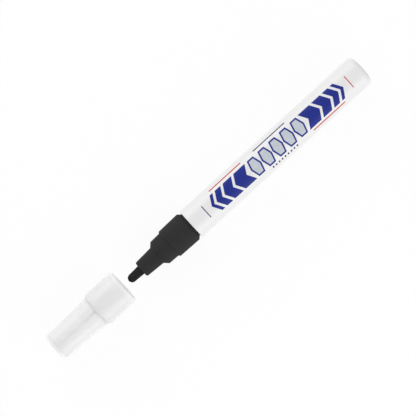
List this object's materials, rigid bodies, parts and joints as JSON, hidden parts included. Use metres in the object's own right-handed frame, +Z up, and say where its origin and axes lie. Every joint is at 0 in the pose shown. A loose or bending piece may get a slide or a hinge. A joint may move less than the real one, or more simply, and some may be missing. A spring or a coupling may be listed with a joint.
{
  "type": "paint marker",
  "caption": "Valve-action paint marker with a white aluminium barrel, black stepped nose, bullet nib and a frosted cap pulled off in line with it.",
  "frame": {"origin": "centre of the flat face of the tail, on the marker's axis", "axes": "+X along the marker's axis from the tail to the nib and the cap, +Z up with the marker lying on its side, the groove of the cap on top"},
  "size_m": [0.1765, 0.0164, 0.0162],
  "materials": {
    "barrel_lacquer": "white lacquer over aluminium, satin gloss, with a printed row of chevrons and lozenges along its top",
    "nose_plastic": "black moulded plastic, fine satin texture",
    "nib_fibre": "pressed fibre soaked with black paint",
    "cap_plastic": "frosted see-through moulded plastic",
    "inner_cap_plastic": "soft milky plastic",
    "seal_rubber": "matt rubber",
    "valve_plastic": "natural white moulded plastic",
    "spring_steel": "drawn spring wire",
    "ball_steel": "polished bearing ball"
  },
  "bodies": {
    "marker": {"barrel": "barrel_lacquer", "nose": "nose_plastic", "nose_seal_ring": "seal_rubber", "valve_seat": "seal_rubber", "valve_spring": "spring_steel", "valve_cage": "valve_plastic"},
    "nib": {"nib": "nib_fibre", "valve_stem": "valve_plastic"},
    "ball": {"mixing_ball": "ball_steel"},
    "cap": {"cap": "cap_plastic", "inner_cap": "inner_cap_plastic"}
  },
  "joints": [
    {"name": "cap_slide", "type": "slide", "parent": "marker", "child": "cap", "axis": [1, 0, 0], "range_m": [-0.0403, 0]},
    {"name": "nib_press", "type": "slide", "parent": "marker", "child": "nib", "axis": [-1, 0, 0], "range_m": [0, 0.0016], "stiffness_N_per_m": 1340, "springref_m": -0.001, "deforming": ["valve_spring"]},
    {"name": "ball_roll", "type": "slide", "parent": "marker", "child": "ball", "axis": [1, 0, 0], "range_m": [-0.02, 0.0592]}
  ]
}
